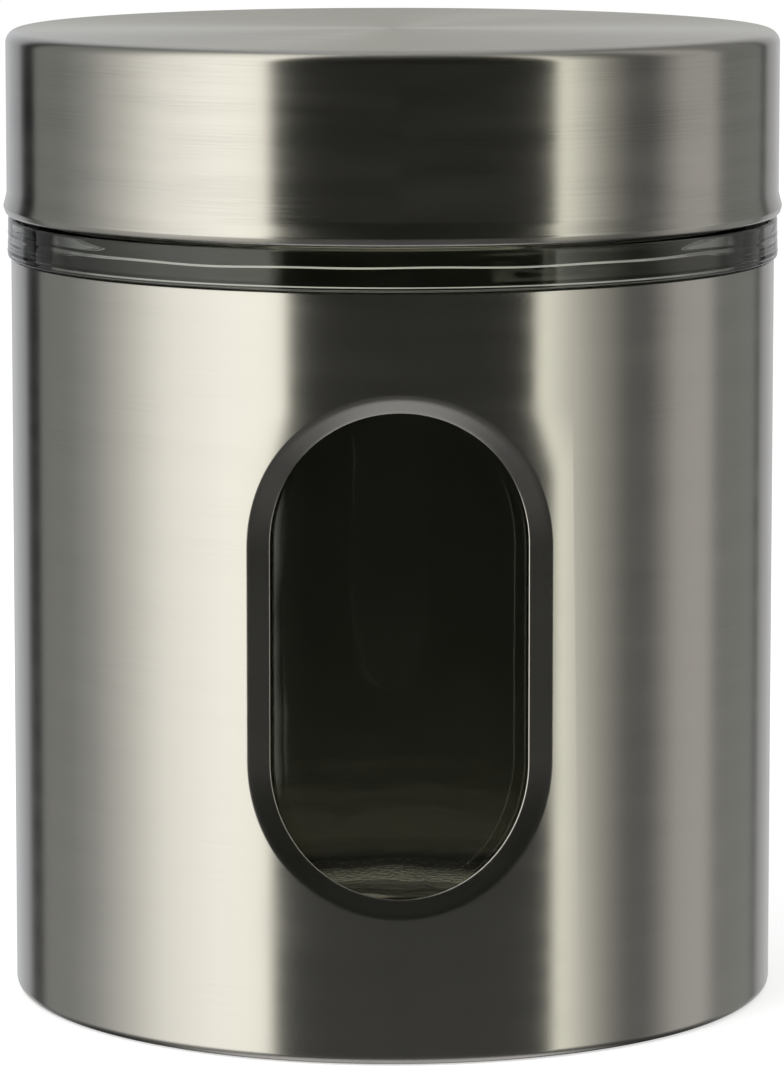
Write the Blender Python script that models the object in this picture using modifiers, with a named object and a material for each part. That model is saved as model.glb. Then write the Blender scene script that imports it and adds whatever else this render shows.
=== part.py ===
"""Window storage canister: a pressed glass jar in a brushed steel sleeve, under a steel screw lid.

The origin is the centre of the base, +Z is up and the window faces -Y. The jar drops into the
sleeve until its shoulder sits on the sleeve's top edge, and a bedding ring on the sleeve's
turned-in foot holds its heel. The lid is a drawn steel shell over a moulded liner, whose four
lugs run under the four thread ridges on the jar's neck, with a soft gasket between.
"""

from math import ceil, cos, pi, radians, sin

import bmesh
import bpy

MM = 0.001

# Facets of everything that is turned, so that neighbours' facets lie side by side
TURN_STEPS = 60

# Sleeve: a rolled and welded stainless tube
sleeve_diameter = 100.0 * MM
sleeve_height = 96.8 * MM
sleeve_sheet = 0.5 * MM
foot_bend = 1.2 * MM
foot_lip = 7.5 * MM

# Window: a hole with round ends, its rim drawn inward onto the glass
window_width = 39.2 * MM
window_rise = 18.35 * MM
window_drop = 12.45 * MM
window_margin = 2.0 * MM
flange_depth = 1.2 * MM
flange_side = 2.9 * MM
flange_end = 2.6 * MM
flange_bend_share = 0.3
CAP_CORNER_STEPS = 2
WINDOW_SIDE_STEPS = 2

# Jar: pressed glass with a shoulder, a plain neck and a pushed-up base
glass_gap = 0.3 * MM
glass_wall = 3.0 * MM
base_thickness = 4.7 * MM
floor_fillet = 3.0 * MM
heel_round = 2.5 * MM
heel_width = 4.5 * MM
punt_depth = 1.8 * MM
shoulder_proud = 0.5 * MM
shoulder_height = 5.0 * MM
shoulder_round = 0.5 * MM
shoulder_step = 0.1 * MM
shoulder_step_height = 2.4 * MM
shoulder_chamfer = 0.5 * MM
throat_drop = 1.0 * MM
throat_rise = 4.0 * MM
neck_wall = 3.6 * MM
neck_fillet = 1.0 * MM
seat_gap = 0.3 * MM

# Bedding ring: thin closed-cell foam between the sleeve's foot and the jar's heel
bedding_thickness = 1.2 * MM
bedding_gap = 0.3 * MM

# Lid shell: a drawn steel cup with a hem turned in at its mouth
lid_overhang = 0.55 * MM
lid_height = 23.95 * MM
lid_sheet = 0.5 * MM
lid_corner = 1.7 * MM
lid_foot_gap = 0.45 * MM
hem_proud = 0.45 * MM
hem_height = 2.7 * MM
hem_crease = 1.0 * MM
hem_draft = 0.3 * MM
hem_round = 0.7 * MM
hem_lip = 1.6 * MM

# Liner: moulded plastic that carries the thread lugs and the plug ring
liner_gap = 0.3 * MM
liner_skirt = 1.4 * MM
liner_disc = 1.3 * MM
liner_ring_radius = 21.0 * MM
liner_ring_width = 1.4 * MM
liner_ring_height = 0.9 * MM
plug_gap = 0.7 * MM
plug_wall = 1.2 * MM
plug_length = 4.5 * MM
plug_chamfer = 0.4 * MM

# Gasket: a soft ring on top of the jar's rim
gasket_thickness = 2.0 * MM
gasket_gap = 0.3 * MM
gasket_chamfer = 0.5 * MM

# Thread: four interrupted right-hand ridges on the neck, and a lug of the liner under each
THREAD_STARTS = 4
thread_lead = 16.0 * MM
thread_depth = 1.25 * MM
thread_gap = 0.3 * MM
thread_play = 0.3 * MM
thread_drop = 8.0 * MM
ridge_width = 2.6 * MM
ridge_crest = 1.3 * MM
rib_root = 0.5 * MM
RIDGE_TURN = 72.0
LUG_TURN = 42.0

# Radii that follow from the sizes above
sleeve_radius = sleeve_diameter / 2
jar_radius = sleeve_radius - flange_depth - sleeve_sheet - glass_gap
jar_bore = jar_radius - glass_wall
shoulder_radius = sleeve_radius + shoulder_proud
lid_radius = sleeve_radius + lid_overhang
liner_radius = lid_radius - lid_sheet - liner_gap
skirt_bore = liner_radius - liner_skirt
ridge_radius = skirt_bore - thread_gap
neck_radius = ridge_radius - thread_depth
lug_radius = neck_radius + thread_gap
mouth_radius = neck_radius - neck_wall
plug_radius = mouth_radius - plug_gap

# Heights that follow from the sizes above
bedding_bottom = sleeve_sheet + bedding_gap
heel_z = bedding_bottom + bedding_thickness + bedding_gap
floor_z = heel_z + base_thickness
shoulder_bottom = sleeve_height + seat_gap
shoulder_top = shoulder_bottom + shoulder_height
lid_bottom = shoulder_top + lid_foot_gap
lid_top = lid_bottom + lid_height
liner_top = lid_top - lid_sheet - liner_gap
liner_underside = liner_top - liner_disc
skirt_bottom = lid_bottom + lid_sheet + liner_gap
gasket_top = liner_underside - gasket_gap
rim_z = gasket_top - gasket_thickness - gasket_gap
ridge_z = rim_z - thread_drop
thread_pitch = thread_lead / THREAD_STARTS
lug_z = ridge_z - thread_pitch / 2

# The lug's flanks run beside the ridge's, with the thread's play between them
flank_slope = (ridge_width - ridge_crest) / 2 / thread_depth
flank_overlap = flank_slope * (skirt_bore - neck_radius)
lug_width = 2 * (thread_pitch / 2 - thread_play + flank_overlap) - ridge_width
lug_crest = lug_width - 2 * flank_slope * (skirt_bore - lug_radius)


def clear_scene():
    for obj in list(bpy.data.objects):
        bpy.data.objects.remove(obj, do_unlink=True)


def make_collection(name):
    collection = bpy.data.collections.new(name)
    bpy.context.scene.collection.children.link(collection)
    return collection


def make_material(name, colour, roughness, metallic=0.0, transmission=0.0):
    material = bpy.data.materials.new(name)
    material.use_nodes = True
    shader = material.node_tree.nodes["Principled BSDF"]
    shader.inputs["Base Color"].default_value = (*colour, 1.0)
    shader.inputs["Roughness"].default_value = roughness
    shader.inputs["Metallic"].default_value = metallic
    shader.inputs["Transmission Weight"].default_value = transmission
    return material


def make_pivot(name, height, collection):
    """An empty on the canister's axis that carries pieces."""
    pivot = bpy.data.objects.new(name, None)
    pivot.location.z = height
    pivot.empty_display_size = foot_lip
    collection.objects.link(pivot)
    return pivot


def add_object(name, mesh, collection, material=None, pivot=None):
    """Links a mesh that is drawn in world heights, and sets it under its pivot."""
    obj = bpy.data.objects.new(name, mesh)
    collection.objects.link(obj)
    if material:
        mesh.materials.append(material)
    if pivot:
        obj.parent = pivot
        obj.location.z = -pivot.location.z
    return obj


def arc(centre, radius, start, end, steps):
    """Points of an arc in the plane of radius and height, angles in degrees from outward."""
    angles = [radians(start + (end - start) * i / steps) for i in range(steps + 1)]
    return [(centre[0] + radius * cos(a), centre[1] + radius * sin(a)) for a in angles]


def ease(start, end, steps):
    """Points of a soft S from one point of a profile to another, the two ends included."""
    points = []
    for i in range(steps + 1):
        share = i / steps
        blend = (1 - cos(pi * share)) / 2
        points.append((start[0] + (end[0] - start[0]) * blend,
                       start[1] + (end[1] - start[1]) * share))
    return points


def turned_mesh(name, profile, closed=False):
    """The profile as edges in the XZ plane, ready for a Screw modifier."""
    mesh = bpy.data.meshes.new(name)
    edges = [(i, i + 1) for i in range(len(profile) - 1)]
    if closed:
        edges.append((len(profile) - 1, 0))
    mesh.from_pydata([(r, 0, z) for r, z in profile], edges, [])
    return mesh


def add_screw(obj):
    screw = obj.modifiers.new("turn", "SCREW")
    screw.steps = TURN_STEPS
    screw.render_steps = TURN_STEPS
    screw.use_merge_vertices = True
    screw.merge_threshold = 0.00001
    return screw


def add_sheet(obj, thickness):
    """Gives an outer surface its thickness, inward."""
    sheet = obj.modifiers.new("sheet", "SOLIDIFY")
    sheet.thickness = thickness
    sheet.offset = -1
    sheet.use_even_offset = True
    return sheet


def add_union(obj, other):
    union = obj.modifiers.new("union", "BOOLEAN")
    union.operation = "UNION"
    union.object = other
    return union


def settle(obj, sharp_angle=35.0):
    """Turns the modifiers into the mesh itself, smooth but for its sharp edges."""
    graph = bpy.context.evaluated_depsgraph_get()
    mesh = bpy.data.meshes.new_from_object(obj.evaluated_get(graph))
    obj.modifiers.clear()
    obj.data = mesh
    mesh.shade_smooth()
    mesh.set_sharp_from_angle(angle=radians(sharp_angle))


def helical_ribs(name, start_radius, crest_radius, width, crest, middle_z, turn, collection):
    """Thread ribs, one for each start, that rise with the lead and sink away at both ends.

    start_radius is the wall that they grow from. Their feet reach into that wall by rib_root.
    """
    outward = 1 if crest_radius > start_radius else -1
    foot_radius = start_radius - outward * rib_root
    sunk_radius = start_radius - outward * rib_root / 2
    foot = width / 2 + flank_slope * rib_root
    step = 360.0 / TURN_STEPS
    sections = round(turn / step)
    bm = bmesh.new()
    for start in range(THREAD_STARTS):
        middle = 360.0 * start / THREAD_STARTS
        rings = []
        for i in range(sections + 1):
            angle = (i - sections / 2) * step
            z = middle_z + thread_lead * angle / 360.0
            radius = sunk_radius if i in (0, sections) else crest_radius
            section = [(foot_radius, z - foot), (radius, z - crest / 2),
                       (radius, z + crest / 2), (foot_radius, z + foot)]
            turn_to = radians(middle + angle)
            rings.append([bm.verts.new((r * cos(turn_to), r * sin(turn_to), h))
                          for r, h in section])
        for ring, following in zip(rings, rings[1:]):
            for j in range(len(ring)):
                k = (j + 1) % len(ring)
                bm.faces.new((ring[j], ring[k], following[k], following[j]))
        bm.faces.new(rings[0])
        bm.faces.new(rings[-1])
    bmesh.ops.recalc_face_normals(bm, faces=bm.faces)
    mesh = bpy.data.meshes.new(name)
    bm.to_mesh(mesh)
    bm.free()
    ribs = add_object(name, mesh, collection)
    ribs.hide_render = True
    ribs.display_type = "WIRE"
    return ribs


def jar_profile():
    """From the middle of the floor up the bore, over the rim and down the outside."""
    rim_round = neck_wall / 2
    upper_radius = shoulder_radius - shoulder_step
    points = [(0, floor_z)]
    points += arc((jar_bore - floor_fillet, floor_z + floor_fillet), floor_fillet, -90, 0, 4)
    points += ease((jar_bore, shoulder_top - throat_drop),
                   (mouth_radius, shoulder_top + throat_rise), 4)
    points += arc((mouth_radius + rim_round, rim_z - rim_round), rim_round, 180, 0, 6)
    points += arc((neck_radius + neck_fillet, shoulder_top + neck_fillet), neck_fillet, 180, 270, 2)
    points += arc((upper_radius - shoulder_round, shoulder_top - shoulder_round),
                  shoulder_round, 90, 0, 3)
    points += [(upper_radius, shoulder_bottom + shoulder_step_height),
               (shoulder_radius, shoulder_bottom + shoulder_step_height - 5 * shoulder_step),
               (shoulder_radius, shoulder_bottom + shoulder_chamfer),
               (shoulder_radius - shoulder_chamfer, shoulder_bottom),
               (jar_radius, shoulder_bottom)]
    points += arc((jar_radius - heel_round, heel_z + heel_round), heel_round, 0, -90, 3)
    punt_radius = jar_radius - heel_round - heel_width
    points += [(punt_radius, heel_z),
               (punt_radius - punt_depth, heel_z + punt_depth * 2 / 3),
               (punt_radius / 2, heel_z + punt_depth),
               (0, heel_z + punt_depth)]
    return points


def lid_profile():
    """The shell's outer surface, from the middle of its top down to the hem's inner edge."""
    hem_radius = lid_radius + hem_proud
    foot_radius = hem_radius - hem_draft - hem_round
    points = [(0, lid_top)]
    points += arc((lid_radius - lid_corner, lid_top - lid_corner), lid_corner, 90, 0, 4)
    points += [(lid_radius, lid_bottom + hem_height), (hem_radius, lid_bottom + hem_crease)]
    points += arc((foot_radius, lid_bottom + hem_round), hem_round, 0, -90, 3)
    points.append((hem_radius - hem_lip, lid_bottom))
    return points


def liner_profile():
    """From the middle of the top down the outside, and back up through the plug ring."""
    corner = lid_corner - lid_sheet
    ring_inner = liner_ring_radius - liner_ring_width
    points = [(0, liner_top)]
    points += arc((liner_radius - corner, liner_top - corner), corner, 90, 0, 3)
    points += [(liner_radius, skirt_bottom),
               (skirt_bore, skirt_bottom),
               (skirt_bore, liner_underside),
               (plug_radius, liner_underside),
               (plug_radius, liner_underside - plug_length + plug_chamfer),
               (plug_radius - plug_chamfer, liner_underside - plug_length),
               (plug_radius - plug_wall, liner_underside - plug_length),
               (plug_radius - plug_wall, liner_underside),
               (liner_ring_radius, liner_underside),
               (liner_ring_radius, liner_underside - liner_ring_height),
               (ring_inner, liner_underside - liner_ring_height),
               (ring_inner, liner_underside),
               (0, liner_underside)]
    return points


def ring_profile(inner, outer, bottom, top, chamfer):
    """A ring's section with its four corners cut, down the outer side first."""
    if not chamfer:
        return [(outer, top), (outer, bottom), (inner, bottom), (inner, top)]
    return [(outer - chamfer, top), (outer, top - chamfer),
            (outer, bottom + chamfer), (outer - chamfer, bottom),
            (inner + chamfer, bottom), (inner, bottom + chamfer),
            (inner, top - chamfer), (inner + chamfer, top)]


def stadium(half_width, half_height, cap_steps):
    """A hole's outline with round ends, as (round the sleeve, height), anticlockwise."""
    straight = half_height - half_width
    sides = [straight * (2 * i / WINDOW_SIDE_STEPS - 1) for i in range(WINDOW_SIDE_STEPS)]
    turns = [pi * i / cap_steps for i in range(cap_steps)]
    points = [(half_width, z) for z in sides]
    points += [(half_width * cos(t), straight + half_width * sin(t)) for t in turns]
    points += [(-x, -z) for x, z in points]
    return points


def sleeve_mesh():
    """The sleeve's outer surface: window rings, a patch round them, the tube and the foot."""
    column = 2 * pi / TURN_STEPS
    half_columns = ceil((window_width / 2 + window_margin) / sleeve_radius / column)
    patch_columns = 2 * half_columns
    cap_steps = patch_columns + 2 * CAP_CORNER_STEPS
    rows = WINDOW_SIDE_STEPS + 2 * CAP_CORNER_STEPS
    window_height = sleeve_height - window_rise - window_drop
    middle_z = window_rise + window_height / 2
    patch_half = window_height / 2 + window_margin

    bm = bmesh.new()

    def vertex(angle, radius, z):
        return bm.verts.new((radius * sin(angle), -radius * cos(angle), z))

    # The flange runs straight from the cut edge, then bends over into the sleeve
    rings = []
    for inset, sink in ((1, 1), (flange_bend_share, flange_bend_share),
                        (flange_bend_share / 3, flange_bend_share / 8), (0, 0)):
        outline = stadium(window_width / 2 - flange_side * inset,
                          window_height / 2 - flange_end * inset, cap_steps)
        radius = sleeve_radius - flange_depth * sink
        rings.append([vertex(x / sleeve_radius, radius, middle_z + z) for x, z in outline])

    # The patch's border has a point for each of the window's, on whole columns of the tube
    side = [(half_columns, 2 * i / rows - 1) for i in range(rows)]
    top = [(half_columns - i, 1) for i in range(patch_columns)]
    border = side + top + [(-x, -z) for x, z in side + top]
    border = border[CAP_CORNER_STEPS:] + border[:CAP_CORNER_STEPS]
    rings.append([vertex(x * column, sleeve_radius, middle_z + patch_half * z)
                  for x, z in border])
    for inner, outer in zip(rings, rings[1:]):
        for j in range(len(inner)):
            k = (j + 1) % len(inner)
            bm.faces.new((inner[j], outer[j], outer[k], inner[k]))

    # Rows of the tube, from its top edge down to the foot's inner edge
    levels = [(sleeve_radius, sleeve_height)]
    levels += arc((sleeve_radius - foot_bend, foot_bend), foot_bend, 0, -90, 3)
    levels.append((sleeve_radius - foot_lip, 0))
    tube = [[vertex((c - half_columns) * column, r, z) for c in range(TURN_STEPS)]
            for r, z in levels]
    for upper, lower in zip(tube[1:], tube[2:]):
        for c in range(TURN_STEPS):
            d = (c + 1) % TURN_STEPS
            bm.faces.new((lower[c], lower[d], upper[d], upper[c]))

    # Walls of the tube: strips above and below the patch, and whole columns elsewhere
    border_ring = rings[-1]
    border_ring = border_ring[-CAP_CORNER_STEPS:] + border_ring[:-CAP_CORNER_STEPS]
    right = border_ring[:rows + 1]
    above = border_ring[rows:rows + patch_columns + 1][::-1]
    left = border_ring[rows + patch_columns:2 * rows + patch_columns + 1]
    below = border_ring[2 * rows + patch_columns:] + border_ring[:1]
    head, foot = tube[0], tube[1]
    for c in range(TURN_STEPS):
        d = (c + 1) % TURN_STEPS
        if c < patch_columns:
            bm.faces.new((above[c], above[c + 1], head[d], head[c]))
            bm.faces.new((foot[c], foot[d], below[c + 1], below[c]))
        elif c == patch_columns:
            bm.faces.new((foot[c], foot[d], head[d], head[c], *right[::-1]))
        elif c == TURN_STEPS - 1:
            bm.faces.new((foot[c], foot[d], *left[::-1], head[d], head[c]))
        else:
            bm.faces.new((foot[c], foot[d], head[d], head[c]))
    mesh = bpy.data.meshes.new("steel_sleeve")
    bm.to_mesh(mesh)
    bm.free()
    return mesh


def build():
    clear_scene()
    parts = make_collection("storage_canister")
    cutters = make_collection("storage_canister_thread_ribs")
    base = make_pivot("canister_base", 0, parts)
    lid_axis = make_pivot("lid_axis", lid_bottom, parts)

    brushed = make_material("brushed_stainless_steel", (0.56, 0.55, 0.53), 0.32, metallic=1.0)
    lid_steel = make_material("brushed_stainless_lid", (0.58, 0.57, 0.55), 0.34, metallic=1.0)
    glass = make_material("pressed_glass", (0.93, 0.97, 0.95), 0.03, transmission=1.0)
    plastic = make_material("moulded_polypropylene", (0.83, 0.84, 0.83), 0.42)
    silicone = make_material("silicone_rubber", (0.86, 0.87, 0.86), 0.55)
    foam = make_material("closed_cell_foam", (0.12, 0.12, 0.12), 0.9)

    sleeve = add_object("steel_sleeve", sleeve_mesh(), parts, brushed, base)
    add_sheet(sleeve, sleeve_sheet)
    settle(sleeve)

    bedding_section = ring_profile(sleeve_radius - foot_lip + bedding_gap,
                                   sleeve_radius - foot_bend - bedding_gap,
                                   bedding_bottom, bedding_bottom + bedding_thickness, 0)
    bedding = add_object("bedding_ring", turned_mesh("bedding_ring", bedding_section, True),
                         parts, foam, base)
    add_screw(bedding)
    settle(bedding)

    jar = add_object("glass_jar", turned_mesh("glass_jar", jar_profile()), parts, glass, base)
    add_screw(jar)
    ridges = helical_ribs("neck_ridges", neck_radius, ridge_radius, ridge_width, ridge_crest,
                          ridge_z, RIDGE_TURN, cutters)
    add_union(jar, ridges)
    settle(jar)

    shell = add_object("lid_shell", turned_mesh("lid_shell", lid_profile()), parts, lid_steel,
                       lid_axis)
    add_screw(shell)
    add_sheet(shell, lid_sheet)
    settle(shell)

    liner = add_object("lid_liner", turned_mesh("lid_liner", liner_profile()), parts, plastic,
                       lid_axis)
    add_screw(liner)
    lugs = helical_ribs("liner_lugs", skirt_bore, lug_radius, lug_width, lug_crest,
                        lug_z, LUG_TURN, cutters)
    add_union(liner, lugs)
    settle(liner)

    gasket_section = ring_profile(plug_radius + gasket_gap, skirt_bore - gasket_gap,
                                  gasket_top - gasket_thickness, gasket_top, gasket_chamfer)
    gasket = add_object("lid_gasket", turned_mesh("lid_gasket", gasket_section, True), parts,
                        silicone, lid_axis)
    add_screw(gasket)
    settle(gasket)


build()
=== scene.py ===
"""Looks of the window storage canister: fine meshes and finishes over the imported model."""

import math

import bmesh
import bpy
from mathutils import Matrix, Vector


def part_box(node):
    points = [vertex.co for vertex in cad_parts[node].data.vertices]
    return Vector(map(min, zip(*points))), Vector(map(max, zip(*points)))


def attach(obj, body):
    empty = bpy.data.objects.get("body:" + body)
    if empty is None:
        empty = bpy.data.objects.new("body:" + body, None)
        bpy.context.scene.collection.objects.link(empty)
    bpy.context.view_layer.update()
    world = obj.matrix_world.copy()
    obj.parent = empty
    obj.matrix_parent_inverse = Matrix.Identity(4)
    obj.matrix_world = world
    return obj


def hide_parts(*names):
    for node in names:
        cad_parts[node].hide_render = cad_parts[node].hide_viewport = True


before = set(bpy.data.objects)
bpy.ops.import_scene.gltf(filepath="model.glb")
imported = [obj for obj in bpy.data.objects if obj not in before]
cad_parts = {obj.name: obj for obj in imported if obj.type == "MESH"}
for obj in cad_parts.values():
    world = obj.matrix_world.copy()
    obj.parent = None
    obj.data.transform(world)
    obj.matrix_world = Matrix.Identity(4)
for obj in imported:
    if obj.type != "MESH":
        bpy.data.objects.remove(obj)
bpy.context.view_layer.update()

MM = 0.001

# The camera, from the photograph's outlines: a long lens, a little above the lid. The angles
# are in degrees, and the frame's values in the photograph's pixels
CAMERA_DISTANCE = 730.0 * MM
CAMERA_HEIGHT = 168.2 * MM
CAMERA_PITCH = 7.055
CAMERA_TURN = -1.05
FOCAL_PIXELS = 5579.8
PRINCIPAL_COLUMN = 392.65
PRINCIPAL_ROW = 397.0
PHOTO_WIDTH = 784.0
PHOTO_HEIGHT = 1072.0
SENSOR = 36.0

# How finely the pieces are drawn, and from how many degrees a corner stays sharp
TURN_STEPS = 256
SLEEVE_STEPS = 240
SHARP_ANGLE = 40.0

# Radii that differ by less than this are the same
SAME = 0.001 * MM

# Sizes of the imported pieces
sleeve_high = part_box("steel_sleeve")[1]
jar_low, jar_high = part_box("glass_jar")
shell_low, shell_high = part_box("lid_shell")
liner_low, liner_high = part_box("lid_liner")
gasket_low, gasket_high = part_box("lid_gasket")
bedding_low, bedding_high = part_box("bedding_ring")

SHEET = 0.5 * MM

# Sleeve and its window
SLEEVE_RADIUS = sleeve_high.x
SLEEVE_TOP = sleeve_high.z
FOOT_BEND = 1.2 * MM
FOOT_LIP = 7.5 * MM
WINDOW_WIDTH = 39.2 * MM
WINDOW_RISE = 18.35 * MM
WINDOW_DROP = 12.45 * MM
WINDOW_MARGIN = 2.4 * MM
FLANGE_DEPTH = 1.2 * MM
FLANGE_SIDE = 2.9 * MM
FLANGE_END = 2.6 * MM
FLANGE_BEND_SHARE = 0.34
# The cut edges are rounded where the sheet turns by more degrees than EDGE_ANGLE
EDGE_ROUND = 0.2 * MM
EDGE_ANGLE = 60.0
# The tighter round sheet over the window: from which height and over what rise, within which
# degrees from the front, and by what share it turns more
DRAWN_FROM = 74.0 * MM
DRAWN_RISE = 8.0 * MM
DRAWN_HALF_ANGLE = 32.0
DRAWN_FADE = 12.0
DRAWN_TURN = 0.15

# Jar
JAR_RADIUS = SLEEVE_RADIUS - FLANGE_DEPTH - SHEET - 0.3 * MM
JAR_BORE = JAR_RADIUS - 3.0 * MM
WALL_TOP_ROUND = 0.3 * MM
WALL_FILLET = 3.0 * MM
SHOULDER_RADIUS = jar_high.x
SHOULDER_BOTTOM = SLEEVE_TOP + 0.2 * MM
SHOULDER_FOOT_ROUND = 0.22 * MM
SHOULDER_TOP = SLEEVE_TOP + 5.3 * MM
SHOULDER_TOP_ROUND = 0.35 * MM
UPPER_BAND_RADIUS = SHOULDER_RADIUS - 0.1 * MM
RING_LINE = SLEEVE_TOP + 3.3 * MM
RING_REACH = 0.7 * MM
RING_HALF_ROWS = 17
RING_HALF_WIDTH = 0.42 * MM
RING_HEIGHT = 0.045 * MM
# How the ring line wavers: waves to a turn, where they start, and their height
RING_WAVES = ((3, 0.6, 0.06), (7, 2.0, 0.07), (16, 0.0, 0.06))
UPPER_BAND_END = RING_LINE + RING_REACH + 0.1 * MM
LOWER_BAND_START = RING_LINE - RING_REACH - 0.5 * MM
BEAD_LINE = SHOULDER_BOTTOM + 0.72 * MM
BEAD_HALF_WIDTH = 0.4 * MM
BEAD_HEIGHT = 0.05 * MM
BEAD_HALF_ROWS = 10
LOWER_BAND_RADIUS = SHOULDER_RADIUS - BEAD_HEIGHT
NECK_RADIUS = 46.8 * MM
NECK_WALL = 3.6 * MM
NECK_FOOT_ROUND = 1.0 * MM
MOUTH_RADIUS = NECK_RADIUS - NECK_WALL
NECK_IN_START = SHOULDER_TOP - 1 * MM
NECK_IN_END = SHOULDER_TOP + 4 * MM
RIM = jar_high.z
HEEL = jar_low.z
HEEL_ROUND = 2.5 * MM
PUNT_RADIUS = JAR_RADIUS - 7.0 * MM
PUNT_SLOPE = 1.8 * MM
PUNT_STEP = 1.5 * MM
PUNT_ROUND = 0.8 * MM
FLOOR_TOP = HEEL + 4.7 * MM
FLOOR_FLAT = 20 * MM
BASE_RISE = 1.8 * MM
STIPPLE_BORE = 29.0 * MM

# The jar's thread ridges and the liner's lugs. Their turns and run-out are in degrees, and
# each span is the height that is drawn finely for them
LEAD = 16.0 * MM
STARTS = 4
THREAD_DEPTH = 1.25 * MM
THREAD_DROP = 8.0 * MM
THREAD_HALF_TURN = 36.0
THREAD_HALF_WIDTH = 1.3 * MM
THREAD_SPAN = 5.0 * MM
THREAD_ROWS = 80
LUG_HALF_TURN = 21.0
LUG_HALF_WIDTH = 1.2 * MM
LUG_SPAN = 4.0 * MM
LUG_ROWS = 64
LUG_ROOM = 0.3 * MM
RIDGE_RUN_OUT = 7.0

# Lid
LID_RADIUS = SLEEVE_RADIUS + 0.55 * MM
HEM_RADIUS = shell_high.x
LID_BOTTOM = shell_low.z
LID_TOP = shell_high.z
LID_CORNER = 1.7 * MM
LID_TOP_RINGS = 12
HEM_START = 5 * MM
HEM_HEIGHT = 2.7 * MM
HEM_FLARE_ROUND = 4 * MM
HEM_CREASE = 1.0 * MM
HEM_CREASE_ROUND = 0.6 * MM
HEM_ROUND = 0.51 * MM
HEM_DRAFT = 0.32 * MM
HEM_LIP = 1.6 * MM
LINER_RADIUS = liner_high.x
SKIRT_BORE = LINER_RADIUS - 1.4 * MM
SKIRT_END_ROUND = 0.3 * MM
PLUG_RADIUS = MOUTH_RADIUS - 0.7 * MM
PLUG_WALL = 1.2 * MM
PLUG_DEPTH = 4.5 * MM
LINER_UNDERSIDE = liner_high.z - 1.3 * MM
PLUG_END = LINER_UNDERSIDE - PLUG_DEPTH
LINER_ROUND = 0.4 * MM
LINER_RING_RADIUS = 21.0 * MM
LINER_RING_BORE = 19.6 * MM
LINER_RING_END = LINER_UNDERSIDE - 0.9 * MM
LINER_RING_ROUND = 0.2 * MM
# What the gasket and the bedding ring stand clear of the plug and the foot's edge
RING_ROOM = 0.3 * MM
GASKET_ROUND = 0.5 * MM
BEDDING_ROUND = 0.2 * MM


def linear(code):
    """An sRGB hex colour as the linear values that a socket takes."""
    channels = [int(code[i:i + 2], 16) / 255 for i in (1, 3, 5)]
    return (*[c / 12.92 if c <= 0.04045 else ((c + 0.055) / 1.055) ** 2.4
              for c in channels], 1.0)


def grey(level):
    return (level, level, level, 1.0)


def add(tree, kind, inputs=None, **settings):
    """Adds a node with its settings, and fills its inputs with values or other nodes' outputs.
    Inputs that share a name go by their number."""
    node = tree.nodes.new(kind)
    for name, value in settings.items():
        setattr(node, name, value)
    for name, value in (inputs or {}).items():
        if isinstance(value, bpy.types.NodeSocket):
            tree.links.new(value, node.inputs[name])
        else:
            node.inputs[name].default_value = value
    return node


def new_material(name):
    material = bpy.data.materials.new(name)
    material.use_nodes = True
    tree = material.node_tree
    tree.nodes.clear()
    return material, tree


def arc(centre, radius, start, end, steps):
    """Points along an arc between two angles in degrees."""
    angles = [math.radians(start + (end - start) * i / steps) for i in range(steps + 1)]
    return [(centre[0] + radius * math.cos(a), centre[1] + radius * math.sin(a)) for a in angles]


def ease(start, end, steps):
    """Points along a soft S from one radius and height to another."""
    points = []
    for i in range(steps + 1):
        share = i / steps
        blend = (1 - math.cos(math.pi * share)) / 2
        points.append((start[0] + (end[0] - start[0]) * blend,
                       start[1] + (end[1] - start[1]) * share))
    return points


def rounded(corners, steps):
    """A profile through corners (radius, height, rounding), each rounding an arc."""
    points = []
    count = len(corners)
    for i, (r, z, rounding) in enumerate(corners):
        if not rounding or i in (0, count - 1):
            points.append((r, z))
            continue
        here = Vector((r, z))
        before = (Vector(corners[i - 1][:2]) - here).normalized()
        after = (Vector(corners[i + 1][:2]) - here).normalized()
        half = before.angle(after) / 2
        reach = rounding / math.tan(half)
        centre = here + (before + after).normalized() * (rounding / math.sin(half))
        first = here + before * reach - centre
        swing = first.angle_signed(here + after * reach - centre)
        for k in range(steps + 1):
            a = -swing * k / steps
            spun = Vector((first.x * math.cos(a) - first.y * math.sin(a),
                           first.x * math.sin(a) + first.y * math.cos(a)))
            points.append(tuple(centre + spun))
    return points


def turn(name, profile, closed=False, shape=None):
    """A turned mesh. shape(radius, angle, height) may move a point in or out."""
    bm = bmesh.new()
    rings = []
    for r, z in profile:
        if r < SAME:
            rings.append([bm.verts.new((0, 0, z))])
            continue
        ring = []
        for i in range(TURN_STEPS):
            a = 2 * math.pi * i / TURN_STEPS
            radius = shape(r, a, z) if shape else r
            ring.append(bm.verts.new((radius * math.sin(a), -radius * math.cos(a), z)))
        rings.append(ring)
    pairs = list(zip(rings, rings[1:]))
    if closed:
        pairs.append((rings[-1], rings[0]))
    for upper, lower in pairs:
        for i in range(TURN_STEPS):
            k = (i + 1) % TURN_STEPS
            if len(upper) == 1:
                bm.faces.new((upper[0], lower[i], lower[k]))
            elif len(lower) == 1:
                bm.faces.new((upper[i], lower[0], upper[k]))
            else:
                bm.faces.new((upper[i], lower[i], lower[k], upper[k]))
    mesh = bpy.data.meshes.new(name)
    bm.to_mesh(mesh)
    bm.free()
    mesh.shade_smooth()
    mesh.set_sharp_from_angle(angle=math.radians(SHARP_ANGLE))
    return place(name, mesh)


def place(name, mesh):
    obj = bpy.data.objects.new(name, mesh)
    bpy.context.scene.collection.objects.link(obj)
    return obj


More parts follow.
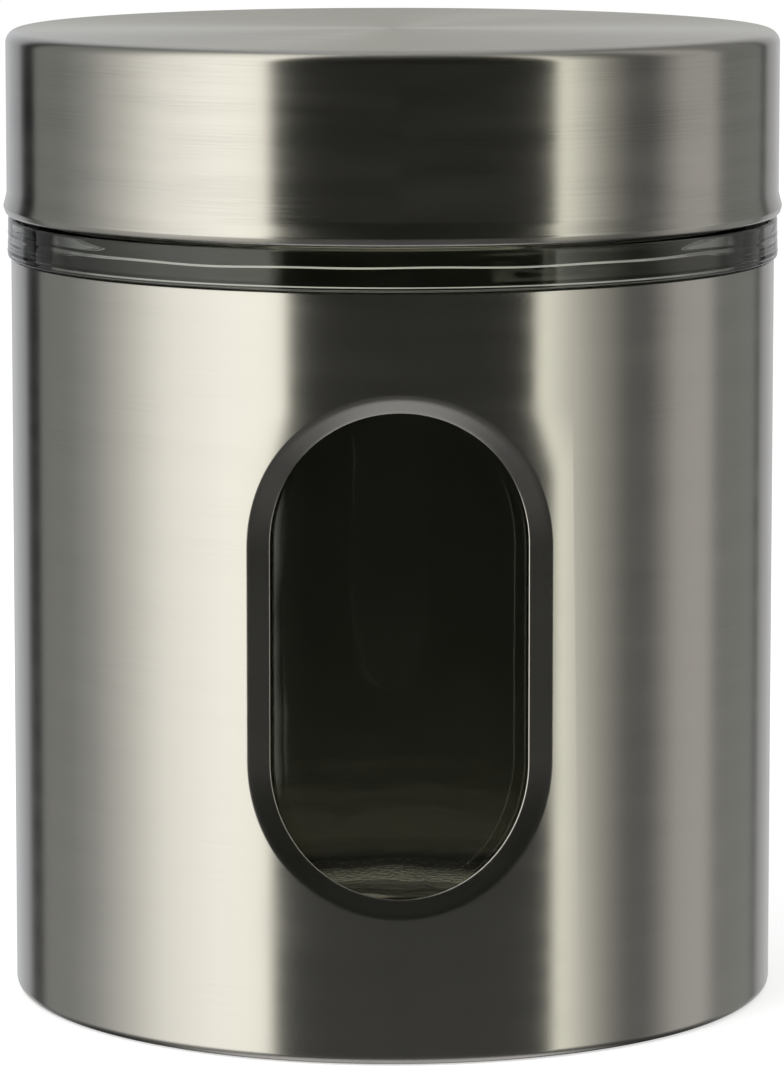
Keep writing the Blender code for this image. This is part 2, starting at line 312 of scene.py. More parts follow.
def make_sheet(obj, inner_material, edge_steps):
    """Gives an outer surface the sheet's thickness inwards, and rounds the cut edges."""
    sheet = obj.modifiers.new("sheet", "SOLIDIFY")
    sheet.thickness = SHEET
    sheet.offset = -1
    sheet.use_even_offset = True
    sheet.material_offset = inner_material
    edge = obj.modifiers.new("edge", "BEVEL")
    edge.width = EDGE_ROUND
    edge.segments = edge_steps
    edge.limit_method = "ANGLE"
    edge.angle_limit = math.radians(EDGE_ANGLE)
    graph = bpy.context.evaluated_depsgraph_get()
    mesh = bpy.data.meshes.new_from_object(obj.evaluated_get(graph))
    obj.modifiers.clear()
    obj.data = mesh
    mesh.shade_smooth()
    return mesh


def finish_piece(obj, body, node, slot, *materials):
    """Gives a piece its materials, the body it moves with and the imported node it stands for."""
    for i, material in enumerate(materials):
        if i < len(obj.data.materials):
            obj.data.materials[i] = material
        else:
            obj.data.materials.append(material)
    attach(obj, body)
    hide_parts(node)


# Sleeve


def stadium(half_width, half_height, cap_steps, side_steps):
    """A long round-ended outline, from the foot of its right side and up round it."""
    straight = half_height - half_width
    sides = [straight * (2 * i / side_steps - 1) for i in range(side_steps)]
    turns = [math.pi * i / cap_steps for i in range(cap_steps)]
    points = [(half_width, z) for z in sides]
    points += [(half_width * math.cos(t), straight + half_width * math.sin(t)) for t in turns]
    return points + [(-x, -z) for x, z in points]


def flange_sink(share):
    """How far in the flange is at a share of its width: a bend, then a straight slope."""
    bend = FLANGE_BEND_SHARE
    full = 1 - bend / 2
    if share < bend:
        return share ** 2 / (2 * bend) / full
    return (share - bend / 2) / full


def sleeve_normal(point):
    """Straight out, but tighter round over the window, where drawing it in pulled the sheet."""
    angle = math.atan2(point.x, -point.y)
    rise = min(1.0, max(0.0, (point.z - DRAWN_FROM) / DRAWN_RISE))
    inside = math.radians(DRAWN_HALF_ANGLE) - abs(angle)
    fade = min(1.0, max(0.0, inside / math.radians(DRAWN_FADE)))
    angle *= 1 + DRAWN_TURN * rise * fade
    return Vector((math.sin(angle), -math.cos(angle), 0))


def make_sleeve():
    column = 2 * math.pi / SLEEVE_STEPS
    half_columns = math.ceil((WINDOW_WIDTH / 2 + WINDOW_MARGIN) / SLEEVE_RADIUS / column)
    patch_columns = 2 * half_columns
    corner_steps = 14
    side_steps = 20
    cap_steps = patch_columns + 2 * corner_steps
    rows = side_steps + 2 * corner_steps
    window_height = SLEEVE_TOP - WINDOW_RISE - WINDOW_DROP
    middle = WINDOW_RISE + window_height / 2
    patch_half = window_height / 2 + WINDOW_MARGIN
    bm = bmesh.new()

    def vertex(angle, radius, z):
        return bm.verts.new((radius * math.sin(angle), -radius * math.cos(angle), z))

    # The flange, from its inner edge out to the window's outline
    rings = []
    for share in (1, 0.85, 0.7, 0.55, 0.45, 0.36, 0.28, 0.21, 0.14, 0.07, 0):
        outline = stadium(WINDOW_WIDTH / 2 - FLANGE_SIDE * share,
                          window_height / 2 - FLANGE_END * share, cap_steps, side_steps)
        radius = SLEEVE_RADIUS - FLANGE_DEPTH * flange_sink(share)
        rings.append([vertex(x / SLEEVE_RADIUS, radius, middle + z) for x, z in outline])

    # The sheet round the window, out to a patch of whole columns of the tube
    side = [(half_columns * column * SLEEVE_RADIUS, patch_half * (2 * i / rows - 1))
            for i in range(rows)]
    top = [((half_columns - i) * column * SLEEVE_RADIUS, patch_half) for i in range(patch_columns)]
    border = side + top + [(-x, -z) for x, z in side + top]
    border = border[corner_steps:] + border[:corner_steps]
    outer = stadium(WINDOW_WIDTH / 2, window_height / 2, cap_steps, side_steps)
    for share in (0.2, 0.4, 0.6, 0.8, 1):
        rings.append([vertex((a[0] + (b[0] - a[0]) * share) / SLEEVE_RADIUS, SLEEVE_RADIUS,
                             middle + a[1] + (b[1] - a[1]) * share)
                      for a, b in zip(outer, border)])
    for inner, following in zip(rings, rings[1:]):
        for j in range(len(inner)):
            k = (j + 1) % len(inner)
            bm.faces.new((inner[j], following[j], following[k], inner[k]))

    # The foot, turned in, and then the tube's faces above, below and beside the patch
    levels = [(SLEEVE_RADIUS, SLEEVE_TOP)]
    levels += arc((SLEEVE_RADIUS - FOOT_BEND, FOOT_BEND), FOOT_BEND, 0, -90, 8)
    levels.append((SLEEVE_RADIUS - FOOT_LIP, 0))
    tube = [[vertex((c - half_columns) * column, r, z) for c in range(SLEEVE_STEPS)]
            for r, z in levels]
    for upper, lower in zip(tube[1:], tube[2:]):
        for c in range(SLEEVE_STEPS):
            d = (c + 1) % SLEEVE_STEPS
            bm.faces.new((lower[c], lower[d], upper[d], upper[c]))
    ring = rings[-1][-corner_steps:] + rings[-1][:-corner_steps]
    right = ring[:rows + 1]
    above = ring[rows:rows + patch_columns + 1][::-1]
    left = ring[rows + patch_columns:2 * rows + patch_columns + 1]
    below = ring[2 * rows + patch_columns:] + ring[:1]
    head, foot = tube[0], tube[1]
    for c in range(SLEEVE_STEPS):
        d = (c + 1) % SLEEVE_STEPS
        if c < patch_columns:
            bm.faces.new((above[c], above[c + 1], head[d], head[c]))
            bm.faces.new((foot[c], foot[d], below[c + 1], below[c]))
        elif c == patch_columns:
            bm.faces.new((foot[c], foot[d], head[d], head[c], *right[::-1]))
        elif c == SLEEVE_STEPS - 1:
            bm.faces.new((foot[c], foot[d], *left[::-1], head[d], head[c]))
        else:
            bm.faces.new((foot[c], foot[d], head[d], head[c]))
    mesh = bpy.data.meshes.new("sleeve_shell")
    bm.to_mesh(mesh)
    bm.free()
    obj = place("sleeve_shell", mesh)
    # One slot for the sheet's outer side and one for its inner side
    mesh.materials.append(None)
    mesh.materials.append(None)
    mesh = make_sheet(obj, inner_material=1, edge_steps=4)
    # The tube is shaded as a smooth round, outside and inside
    normals = []
    for v in mesh.vertices:
        flat = Vector((v.co.x, v.co.y, 0))
        if abs(flat.length - SLEEVE_RADIUS) < SAME:
            normals.append(sleeve_normal(v.co))
        elif abs(flat.length - SLEEVE_RADIUS + SHEET) < SAME and v.co.z > FOOT_BEND:
            normals.append(-flat.normalized())
        else:
            normals.append(v.normal.copy())
    mesh.normals_split_custom_set_from_vertices(normals)
    return obj


# Jar


def thread_rise(angle, z, middle, half_turn, half_width):
    """How much of a thread's height stands at this angle and height, from 0 to 1."""
    best = 0.0
    for start in range(STARTS):
        offset = math.degrees(angle) - 360.0 * start / STARTS
        offset = (offset + 180.0) % 360.0 - 180.0
        along = (half_turn - abs(offset)) / RIDGE_RUN_OUT
        if along <= 0:
            continue
        across = abs(z - middle - LEAD * offset / 360.0) / half_width
        if across >= 1:
            continue
        across = min(1.0, (1 - across) * 2.0)
        along = min(1.0, along)
        best = max(best, across * across * (3 - 2 * across) * along * along * (3 - 2 * along))
    return best


def ring_rise(angle, z):
    """How far the mould's ring line stands out of the glass band, a low ridge that wavers."""
    waver = sum(height * math.sin(waves * angle + start) for waves, start, height in RING_WAVES)
    off = (z - RING_LINE - waver * MM) / RING_HALF_WIDTH
    if abs(off) >= 1:
        return 0.0
    return RING_HEIGHT * (1 + math.cos(math.pi * off)) / 2


def bead_rise(z):
    """How far the bead along the foot of the glass band stands out at this height."""
    off = min(1.0, abs(z - BEAD_LINE) / BEAD_HALF_WIDTH)
    return BEAD_HEIGHT * (1 + math.cos(math.pi * off)) / 2


def make_jar():
    rim_round = NECK_WALL / 2
    profile = [(0, FLOOR_TOP), (FLOOR_FLAT, FLOOR_TOP)]
    profile += arc((JAR_BORE - WALL_FILLET, FLOOR_TOP + WALL_FILLET), WALL_FILLET, -90, 0, 12)
    profile += ease((JAR_BORE, NECK_IN_START), (MOUTH_RADIUS, NECK_IN_END), 14)
    profile += arc((MOUTH_RADIUS + rim_round, RIM - rim_round), rim_round, 180, 0, 14)
    middle = RIM - THREAD_DROP
    profile += [(NECK_RADIUS, middle + THREAD_SPAN - 2 * THREAD_SPAN * i / THREAD_ROWS)
                for i in range(THREAD_ROWS + 1)]
    profile += rounded([(NECK_RADIUS, middle - THREAD_SPAN, 0),
                        (NECK_RADIUS, SHOULDER_TOP, NECK_FOOT_ROUND),
                        (UPPER_BAND_RADIUS, SHOULDER_TOP, SHOULDER_TOP_ROUND),
                        (UPPER_BAND_RADIUS, UPPER_BAND_END, 0)], 6)[1:]
    profile += [(UPPER_BAND_RADIUS, RING_LINE + RING_REACH * (1 - k / RING_HALF_ROWS))
                for k in range(2 * RING_HALF_ROWS + 1)]
    profile.append((LOWER_BAND_RADIUS, LOWER_BAND_START))
    for k in range(-BEAD_HALF_ROWS, BEAD_HALF_ROWS + 1):
        z = BEAD_LINE - BEAD_HALF_WIDTH * k / BEAD_HALF_ROWS
        profile.append((LOWER_BAND_RADIUS + bead_rise(z), z))
    profile += rounded([(LOWER_BAND_RADIUS, BEAD_LINE - BEAD_HALF_WIDTH, 0),
                        (LOWER_BAND_RADIUS, SHOULDER_BOTTOM, SHOULDER_FOOT_ROUND),
                        (JAR_RADIUS, SHOULDER_BOTTOM, WALL_TOP_ROUND),
                        (JAR_RADIUS, HEEL + HEEL_ROUND, 0)], 6)[1:]
    profile += arc((JAR_RADIUS - HEEL_ROUND, HEEL + HEEL_ROUND), HEEL_ROUND, 0, -90, 8)
    profile += rounded([(PUNT_RADIUS, HEEL, 0),
                        (PUNT_RADIUS - PUNT_SLOPE, HEEL + PUNT_STEP, PUNT_ROUND),
                        (STIPPLE_BORE, HEEL + BASE_RISE, 0), (0, HEEL + BASE_RISE, 0)], 4)

    def shape(radius, angle, z):
        if abs(radius - UPPER_BAND_RADIUS) < SAME and abs(z - RING_LINE) < RING_REACH:
            return radius + ring_rise(angle, z)
        if abs(radius - NECK_RADIUS) > SAME or abs(z - middle) > THREAD_SPAN:
            return radius
        return radius + THREAD_DEPTH * thread_rise(
            angle + math.pi / 2, z, middle, THREAD_HALF_TURN, THREAD_HALF_WIDTH)

    obj = turn("jar_glass", profile, shape=shape)
    for face in obj.data.polygons:
        reach = Vector(face.center[:2]).length
        if reach > STIPPLE_BORE and face.center.z < HEEL + BASE_RISE + 0.1 * MM:
            face.material_index = 1
    return obj


# Lid


def make_shell():
    profile = [(0, LID_TOP)]
    profile += [(LID_RADIUS * i / LID_TOP_RINGS, LID_TOP) for i in range(1, LID_TOP_RINGS)]
    profile += arc((LID_RADIUS - LID_CORNER, LID_TOP - LID_CORNER), LID_CORNER, 90, 0, 12)
    profile += rounded([(LID_RADIUS, LID_BOTTOM + HEM_START, 0),
                        (LID_RADIUS, LID_BOTTOM + HEM_HEIGHT, HEM_FLARE_ROUND),
                        (HEM_RADIUS, LID_BOTTOM + HEM_CREASE, HEM_CREASE_ROUND),
                        (HEM_RADIUS - HEM_DRAFT, LID_BOTTOM, HEM_ROUND),
                        (HEM_RADIUS - HEM_LIP, LID_BOTTOM, 0)], 8)
    obj = turn("lid_steel", profile)
    make_sheet(obj, inner_material=0, edge_steps=3)
    return obj


def make_liner():
    corner = LID_CORNER - SHEET
    skirt_end = liner_low.z
    lug_z = RIM - THREAD_DROP - LEAD / STARTS / 2
    top = liner_high.z
    profile = rounded([(0, top, 0), (LINER_RADIUS, top, corner),
                       (LINER_RADIUS, skirt_end, SKIRT_END_ROUND),
                       (SKIRT_BORE, skirt_end, SKIRT_END_ROUND),
                       (SKIRT_BORE, lug_z - LUG_SPAN, 0)], 5)
    profile += [(SKIRT_BORE, lug_z - LUG_SPAN + 2 * LUG_SPAN * i / LUG_ROWS)
                for i in range(1, LUG_ROWS + 1)]
    profile += rounded([(SKIRT_BORE, lug_z + LUG_SPAN, 0),
                        (SKIRT_BORE, LINER_UNDERSIDE, LINER_ROUND),
                        (PLUG_RADIUS, LINER_UNDERSIDE, LINER_ROUND),
                        (PLUG_RADIUS, PLUG_END, LINER_ROUND),
                        (PLUG_RADIUS - PLUG_WALL, PLUG_END, LINER_ROUND),
                        (PLUG_RADIUS - PLUG_WALL, LINER_UNDERSIDE, LINER_ROUND),
                        (LINER_RING_RADIUS, LINER_UNDERSIDE, LINER_RING_ROUND),
                        (LINER_RING_RADIUS, LINER_RING_END, LINER_RING_ROUND),
                        (LINER_RING_BORE, LINER_RING_END, LINER_RING_ROUND),
                        (LINER_RING_BORE, LINER_UNDERSIDE, LINER_RING_ROUND),
                        (0, LINER_UNDERSIDE, 0)], 4)[1:]

    def shape(radius, angle, z):
        if abs(radius - SKIRT_BORE) > SAME or abs(z - lug_z) > LUG_SPAN:
            return radius
        return radius - (SKIRT_BORE - NECK_RADIUS - LUG_ROOM) * thread_rise(
            angle + math.pi / 2, z, lug_z, LUG_HALF_TURN, LUG_HALF_WIDTH)

    return turn("lid_insert", profile, shape=shape)


def flat_ring(name, inner, outer, low, high, rounding, steps):
    """A ring of square section with rounded corners."""
    middle = (inner + outer) / 2
    corners = [(middle, high, 0), (outer, high, rounding), (outer, low, rounding),
               (inner, low, rounding), (inner, high, rounding), (middle, high, 0)]
    return turn(name, rounded(corners, steps)[:-1], closed=True)


def make_gasket():
    return flat_ring("seal_ring", PLUG_RADIUS + RING_ROOM, gasket_high.x,
                     gasket_low.z, gasket_high.z, GASKET_ROUND, 5)


def make_bedding():
    return flat_ring("foam_ring", SLEEVE_RADIUS - FOOT_LIP + RING_ROOM, bedding_high.x,
                     bedding_low.z, bedding_high.z, BEDDING_ROUND, 3)


# Finishes


def brushed_steel(name, colour, roughness, line_shade, line_depth):
    """Brushed 304 stainless steel. The belt's lines run round the piece and stretch every
    reflection up and down, so the light stands on it in soft-edged bands."""
    material, tree = new_material(name)
    place_of = add(tree, "ShaderNodeTexCoord").outputs["Object"]
    xyz = add(tree, "ShaderNodeSeparateXYZ", {"Vector": place_of}).outputs
    # The angle jumps from one end of its range to the other at the front centre, where the
    # pattern's two ends show on the lid as a faint seam
    angle = add(tree, "ShaderNodeMath", {0: xyz["X"], 1: xyz["Y"]}, operation="ARCTAN2").outputs[0]
    square = add(tree, "ShaderNodeMath", {0: xyz["X"], 1: xyz["X"]},
                 operation="MULTIPLY").outputs[0]
    reach = add(tree, "ShaderNodeMath", {0: xyz["Y"], 1: xyz["Y"], 2: square},
                operation="MULTIPLY_ADD").outputs[0]
    radius = add(tree, "ShaderNodeMath", {0: reach}, operation="SQRT").outputs[0]
    down = add(tree, "ShaderNodeMath", {0: radius, 1: xyz["Z"]}, operation="SUBTRACT").outputs[0]
    # A belt's lines are about 0.05 mm wide. They are drawn three times as wide, or none would show
    line_length = 14 * MM
    line_width = 0.16 * MM
    along = add(tree, "ShaderNodeMath", {0: angle, 1: SLEEVE_RADIUS / line_length},
                operation="MULTIPLY").outputs[0]
    across = add(tree, "ShaderNodeMath", {0: down, 1: 1 / line_width},
                 operation="MULTIPLY").outputs[0]
    lines_at = add(tree, "ShaderNodeCombineXYZ", {"X": along, "Y": across}).outputs[0]
    grooves = add(tree, "ShaderNodeTexNoise",
                  {"Vector": lines_at, "Scale": 1.0, "Detail": 3.0,
                   "Roughness": 0.6}).outputs["Fac"]
    # The belt bites harder in some passes, so the lines come and go in patches, and where they
    # are strong the steel is a little darker too
    pass_width = 4 * MM
    pass_length = 26 * MM
    along = add(tree, "ShaderNodeMath", {0: angle, 1: SLEEVE_RADIUS / pass_length},
                operation="MULTIPLY").outputs[0]
    across = add(tree, "ShaderNodeMath", {0: down, 1: 1 / pass_width},
                 operation="MULTIPLY").outputs[0]
    passes_at = add(tree, "ShaderNodeCombineXYZ", {"X": along, "Y": across}).outputs[0]
    passes = add(tree, "ShaderNodeTexNoise",
                 {"Vector": passes_at, "Scale": 1.0, "Detail": 1.0}).outputs["Fac"]
    press = add(tree, "ShaderNodeMapRange",
                {"Value": passes, "From Min": 0.42, "From Max": 0.66,
                 "To Min": 0.35, "To Max": 1.6}).outputs[0]
    swing = add(tree, "ShaderNodeMath", {0: grooves, 1: 0.5}, operation="SUBTRACT").outputs[0]
    calm = add(tree, "ShaderNodeMath", {0: 1.0, 1: passes}, operation="SUBTRACT").outputs[0]
    lines = add(tree, "ShaderNodeMath", {0: swing, 1: press, 2: calm},
                operation="MULTIPLY_ADD").outputs[0]
    tint = add(tree, "ShaderNodeMapRange",
               {"Value": lines, "From Min": 0.25, "From Max": 0.75,
                "To Min": 1 - line_shade, "To Max": 1 + line_shade})
    base = add(tree, "ShaderNodeMix", {"Factor": 1.0, 6: linear(colour), 7: tint.outputs[0]},
               data_type="RGBA", blend_type="MULTIPLY").outputs[2]
    rough = add(tree, "ShaderNodeMapRange",
                {"Value": lines, "From Min": 0.25, "From Max": 0.75,
                 "To Min": roughness - 0.02, "To Max": roughness + 0.02}).outputs[0]
    bump = add(tree, "ShaderNodeBump",
               {"Height": lines, "Strength": 1.0, "Distance": line_depth}).outputs[0]
    tangent = add(tree, "ShaderNodeTangent", direction_type="RADIAL", axis="Z").outputs[0]
    shader = add(tree, "ShaderNodeBsdfPrincipled",
                 {"Base Color": base, "Metallic": 1.0, "Roughness": rough, "Anisotropic": 0.9,
                  "Anisotropic Rotation": 0.25, "Tangent": tangent, "Normal": bump})
    add(tree, "ShaderNodeOutputMaterial", {"Surface": shader.outputs[0]})
    return material


def jar_glass(name, wave, depth, roughness):
    """Pressed soda-lime glass, fire polished: clear, faintly green where it is thick, with soft
    waves from the mould that bend the light in it."""
    material, tree = new_material(name)
    place_of = add(tree, "ShaderNodeTexCoord").outputs["Object"]
    waves = add(tree, "ShaderNodeTexNoise",
                {"Vector": place_of, "Scale": 1 / wave, "Detail": 1.0}).outputs["Fac"]
    bump = add(tree, "ShaderNodeBump",
               {"Height": waves, "Strength": 1.0, "Distance": depth}).outputs[0]
    shader = add(tree, "ShaderNodeBsdfPrincipled",
                 {"Base Color": linear("#f8f9f2"), "Roughness": roughness, "IOR": 1.52,
                  "Transmission Weight": 1.0, "Normal": bump})
    add(tree, "ShaderNodeOutputMaterial", {"Surface": shader.outputs[0]})
    return material


def plain_finish(name, colour, roughness, grain, depth, ior=1.5, subsurface=0.0, metallic=0.0):
    """An even surface with a fine grain, for what is rolled, moulded or foamed."""
    material, tree = new_material(name)
    place_of = add(tree, "ShaderNodeTexCoord").outputs["Object"]
    noise = add(tree, "ShaderNodeTexNoise",
                {"Vector": place_of, "Scale": 1 / grain, "Detail": 3.0}).outputs["Fac"]
    bump = add(tree, "ShaderNodeBump",
               {"Height": noise, "Strength": 0.4, "Distance": depth}).outputs[0]
    shade = add(tree, "ShaderNodeMapRange",
                {"Value": noise, "From Min": 0.3, "From Max": 0.7, "To Min": 0.95, "To Max": 1.0})
    base = add(tree, "ShaderNodeMix", {"Factor": 1.0, 6: linear(colour), 7: shade.outputs[0]},
               data_type="RGBA", blend_type="MULTIPLY").outputs[2]
    shader = add(tree, "ShaderNodeBsdfPrincipled",
                 {"Base Color": base, "Metallic": metallic, "Roughness": roughness, "IOR": ior,
                  "Normal": bump, "Subsurface Weight": subsurface, "Subsurface Scale": 2 * MM})
    add(tree, "ShaderNodeOutputMaterial", {"Surface": shader.outputs[0]})
    return material


# Studio


# Studio wall round the canister: degrees from the front towards +X, brightness, colour.
# A black flag stands in front, a tall softbox on the left and a narrow one on the right.
STUDIO_WALL = (
    (-180, 0.51, "#fffff8"), (-170, 0.66, "#f9fbff"), (-162, 0.63, "#f7faff"),
    (-152, 0.50, "#f7faff"), (-144, 0.38, "#f7faff"), (-141.3, 0.0, "#ffffff"),
    (-131.7, 0.0, "#ffffff"), (-131.0, 0.29, "#fcfffb"), (-127, 0.24, "#fcfffb"),
    (-113, 0.25, "#fcfffb"), (-100, 0.39, "#fcfffb"), (-86, 0.74, "#fffef8"),
    (-72, 1.21, "#fffef8"), (-55, 1.48, "#fffef8"), (-37.8, 1.52, "#fffef4"),
    (-35.4, 0.06, "#f8ffe8"), (-28, 0.014, "#f8ffe8"), (46.8, 0.014, "#f8ffe8"),
    (47.5, 1.6, "#fffff0"), (49.5, 1.3, "#fffff0"), (53, 1.0, "#fffff3"),
    (60, 0.54, "#fffff3"), (66, 0.28, "#fffff3"), (72, 0.12, "#fffffa"),
    (80, 0.10, "#fffffa"), (86, 0.25, "#fffcf8"), (92, 0.45, "#fffcf8"),
    (106, 0.51, "#fffcf8"), (112, 0.22, "#fcfffb"), (137, 0.24, "#fcfffb"),
    (138.5, 0.06, "#fcfffb"), (142, 0.08, "#fcfffb"), (144, 0.35, "#fcfdff"),
    (163, 0.60, "#fcfdff"), (180, 0.51, "#fffff8"),
)
WALL_RADIUS = 1500 * MM
WALL_STEPS = 360
WALL_ROWS = 44
WALL_END = 88.0

# How much of the wall's brightness is left at a height angle, and how much white glow the pale
# floor, or the ceiling, adds there
WALL_HEIGHTS = (
    (-88, 0.0, 0.32), (-74, 0.0, 0.64), (-64, 0.0, 0.64), (-58, 0.0, 0.30), (-52, 0.0, 0.05),
    (-40, 0.0, 0.03), (-34, 0.08, 0.06), (-26, 0.7, 0.09), (-20, 1.0, 0.09), (-12, 1.0, 0.05),
    (-6, 1.0, 0.01), (0, 1.0, 0.0), (60, 1.0, 0.0), (72, 0.7, 0.1), (88, 0.4, 0.3),
)
# How much of the wall's brightness the glass sees: the back wall only in a strip behind
THROUGH_GLASS = (
    (0, 1.0), (30, 1.0), (40, 0.6), (113, 0.6), (122, 0.1), (146, 0.1), (150, 0.16), (165, 0.3),
    (180, 1.1),
)

# Floor, just under the foot, and the dim disc that stands for it inside the foot's opening: its
# fixed grey glow is painted shade
FLOOR_HALF_SIDE = 12.0
FLOOR_DROP = 0.05 * MM
SHADE_DROP = 0.02 * MM
SHADE_RADIUS = SLEEVE_RADIUS - FOOT_LIP + 2 * MM

# The lamps aim at the canister's middle
LAMP_AIM = Vector((0, 0, 60 * MM))


def between(table, at):
    """The row of values at a place between a table's rows, each row starting with its place."""
    for low, high in zip(table, table[1:]):
        if at <= high[0]:
            share = (at - low[0]) / (high[0] - low[0])
            return [a + (b - a) * share for a, b in zip(low[1:], high[1:])]
    return list(table[-1][1:])


def make_wall():
    """A domed studio wall that only gloss and glass see."""
    light = [(a, *[level * c for c in linear(tint)[:3]]) for a, level, tint in STUDIO_WALL]
    bm = bmesh.new()
    glow = bm.verts.layers.float_color.new("glow")
    through = bm.verts.layers.float.new("through")
    grid = []
    for j in range(WALL_ROWS + 1):
        height = -WALL_END + 2 * WALL_END * j / WALL_ROWS
        kept, added = between(WALL_HEIGHTS, height)
        ring = []
        for i in range(WALL_STEPS):
            around = -180 + 360 * i / WALL_STEPS
            a, h = math.radians(around), math.radians(height)
            vert = bm.verts.new((WALL_RADIUS * math.sin(a) * math.cos(h),
                                 -WALL_RADIUS * math.cos(a) * math.cos(h),
                                 WALL_RADIUS * math.sin(h)))
            vert[glow] = (*[c * kept + added for c in between(light, around)], 1.0)
            vert[through] = between(THROUGH_GLASS, abs(around))[0]
            ring.append(vert)
        grid.append(ring)
    for low, high in zip(grid, grid[1:]):
        for i in range(WALL_STEPS):
            k = (i + 1) % WALL_STEPS
            bm.faces.new((low[i], low[k], high[k], high[i]))
    mesh = bpy.data.meshes.new("studio_wall")
    bm.to_mesh(mesh)
    bm.free()
    wall = place("studio_wall", mesh)
    material, tree = new_material("studio_wall")
    colour = add(tree, "ShaderNodeAttribute", attribute_name="glow").outputs["Color"]
    share = add(tree, "ShaderNodeAttribute", attribute_name="through").outputs["Fac"]
    path = add(tree, "ShaderNodeLightPath").outputs
    level = add(tree, "ShaderNodeMix", {"Factor": path["Is Transmission Ray"], 2: 1.0, 3: share},
                data_type="FLOAT").outputs[0]
    shader = add(tree, "ShaderNodeEmission", {"Color": colour, "Strength": level})
    add(tree, "ShaderNodeOutputMaterial", {"Surface": shader.outputs[0]})
    mesh.materials.append(material)
    wall.visible_camera = False
    wall.visible_diffuse = False
    wall.visible_shadow = False


def make_floor():
    bm = bmesh.new()
    bmesh.ops.create_grid(bm, x_segments=1, y_segments=1, size=FLOOR_HALF_SIDE)
    mesh = bpy.data.meshes.new("floor")
    bm.to_mesh(mesh)
    bm.free()
    floor = place("floor", mesh)
    floor.location.z = -FLOOR_DROP
    material, tree = new_material("pale_floor")
    path = add(tree, "ShaderNodeLightPath").outputs
    shader = add(tree, "ShaderNodeBsdfPrincipled",
                 {"Base Color": linear("#f2f2f2"), "Roughness": 0.9,
                  "Emission Color": grey(1.0), "Specular IOR Level": 0.0})
    lift = add(tree, "ShaderNodeMath", {0: path["Is Camera Ray"], 1: 0.5},
               operation="MULTIPLY").outputs[0]
    tree.links.new(lift, shader.inputs["Emission Strength"])
    add(tree, "ShaderNodeOutputMaterial", {"Surface": shader.outputs[0]})
    mesh.materials.append(material)
    floor.visible_glossy = False
    floor.visible_transmission = False


def make_shade():
    """A dim glowing disc inside the foot's opening, which glass and gloss see instead of the
    floor. The floor's shade there is painted into its fixed grey glow, which no lamp gives.
    """
    bm = bmesh.new()
    bmesh.ops.create_circle(bm, cap_ends=True, segments=64, radius=SHADE_RADIUS)
    mesh = bpy.data.meshes.new("painted_shade_floor")
    bm.to_mesh(mesh)
    bm.free()
    material, tree = new_material("painted_shade_floor")
    # Painted shade: a fixed grey glow that stands for the floor under the canister
    shader = add(tree, "ShaderNodeEmission", {"Color": linear("#8c897d"), "Strength": 1.0})
    add(tree, "ShaderNodeOutputMaterial", {"Surface": shader.outputs[0]})
    mesh.materials.append(material)
    shade = place("painted_shade_floor", mesh)
    shade.location.z = -SHADE_DROP
    shade.visible_camera = False
    shade.visible_diffuse = False
    shade.visible_shadow = False


def make_world():
    world = bpy.data.worlds.new("studio")
    bpy.context.scene.world = world
    world.use_nodes = True
    tree = world.node_tree
    tree.nodes.clear()
    path = add(tree, "ShaderNodeLightPath").outputs
    seen = add(tree, "ShaderNodeMath", {0: path["Is Camera Ray"], 1: path["Is Glossy Ray"]},
               operation="MAXIMUM").outputs[0]
    seen = add(tree, "ShaderNodeMath", {0: seen, 1: path["Is Transmission Ray"]},
               operation="MAXIMUM").outputs[0]
    level = add(tree, "ShaderNodeMapRange",
                {"Value": seen, "To Min": 0.55, "To Max": 1.0}).outputs[0]
    back = add(tree, "ShaderNodeBackground", {"Color": grey(1.0), "Strength": level})
    add(tree, "ShaderNodeOutputWorld", {"Surface": back.outputs[0]})


def make_lamp(name, energy, size, position):
    """A soft square lamp, with its power in watts, and its size and place in metres."""
    data = bpy.data.lights.new(name, "AREA")
    data.energy = energy
    data.size = size
    lamp = bpy.data.objects.new(name, data)
    bpy.context.scene.collection.objects.link(lamp)
    lamp.location = position
    lamp.rotation_euler = (LAMP_AIM - Vector(position)).to_track_quat("-Z", "Y").to_euler()
    lamp.visible_glossy = False
    lamp.visible_transmission = False


def make_camera():
    data = bpy.data.cameras.new("camera")
    data.sensor_width = SENSOR
    data.lens = FOCAL_PIXELS / PHOTO_HEIGHT * SENSOR
    data.shift_y = (PRINCIPAL_ROW - PHOTO_HEIGHT / 2) / PHOTO_HEIGHT
    data.shift_x = (PHOTO_WIDTH / 2 - PRINCIPAL_COLUMN) / PHOTO_HEIGHT
    data.clip_end = 50.0
    camera = bpy.data.objects.new("camera", data)
    bpy.context.scene.collection.objects.link(camera)
    turn_to = math.radians(CAMERA_TURN)
    camera.location = (CAMERA_DISTANCE * math.sin(turn_to), -CAMERA_DISTANCE * math.cos(turn_to),
                       CAMERA_HEIGHT)
    camera.rotation_euler = (math.radians(90 - CAMERA_PITCH), 0, turn_to)
    bpy.context.scene.camera = camera


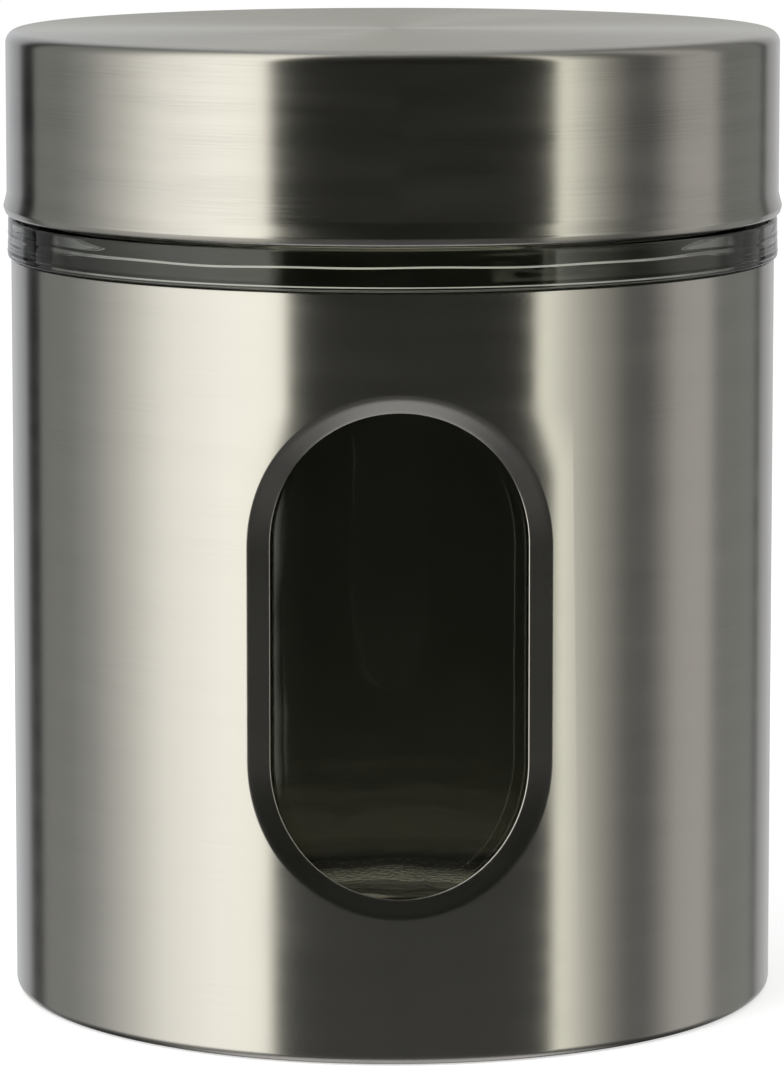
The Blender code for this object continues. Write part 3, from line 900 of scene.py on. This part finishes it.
make_camera()
make_world()
make_floor()
make_shade()
make_wall()
make_lamp("key_lamp", 6.0, 0.8, (-0.7, -0.7, 1.1))
make_lamp("fill_lamp", 3.0, 1.0, (0.9, -0.5, 0.8))

bpy.context.scene.view_settings.view_transform = "Standard"

# Both steels are the same sheet; the lid was brushed with a coarser belt, and shows its lines
sleeve_steel = brushed_steel("brushed_stainless_sleeve", "#cdcac4", 0.24, 0.03, 0.0005 * MM)
lid_steel = brushed_steel("brushed_stainless_lid", "#c9c6c0", 0.24, 0.07, 0.0012 * MM)
# The sheet's inner side is left as rolled: dull, without lines, its grain about 0.5 mm
rolled_steel = plain_finish("dull_rolled_steel", "#b2b1a2", 0.6, 0.5 * MM, 0.01 * MM,
                            metallic=1.0)
clear_glass = jar_glass("soda_lime_glass", 11 * MM, 0.12 * MM, 0.02)
# The mould stipples the ring under the base, which breaks up the light that crosses it. Its
# dimples are about 0.5 mm apart, and are drawn 1 mm apart, or they wouldn't show
stippled_glass = jar_glass("stippled_soda_lime_glass", 1.0 * MM, 0.4 * MM, 0.5)
# Closed-cell polyethylene foam: near black and quite matt, with cells of about 0.4 mm
foam = plain_finish("closed_cell_foam", "#2b2a28", 0.9, 0.4 * MM, 0.05 * MM)
# Injection-moulded polypropylene: milky white with a satin gloss, its mould grain about 0.5 mm
plastic = plain_finish("moulded_polypropylene", "#dfe0dc", 0.42, 0.5 * MM, 0.01 * MM, 1.49, 0.15)
# Moulded silicone rubber: whiter, softer and more matt than the plastic, grain about 0.6 mm
silicone = plain_finish("silicone_rubber", "#e2e3e0", 0.55, 0.6 * MM, 0.01 * MM, 1.41, 0.2)

finish_piece(make_sleeve(), "jar", "steel_sleeve", "brushed_sleeve_steel", sleeve_steel,
             rolled_steel)
finish_piece(make_jar(), "jar", "glass_jar", "clear_glass", clear_glass, stippled_glass)
finish_piece(make_bedding(), "jar", "bedding_ring", "foam", foam)
finish_piece(make_shell(), "lid", "lid_shell", "brushed_lid_steel", lid_steel)
finish_piece(make_liner(), "lid", "lid_liner", "moulded_plastic", plastic)
finish_piece(make_gasket(), "seal", "lid_gasket", "silicone", silicone)
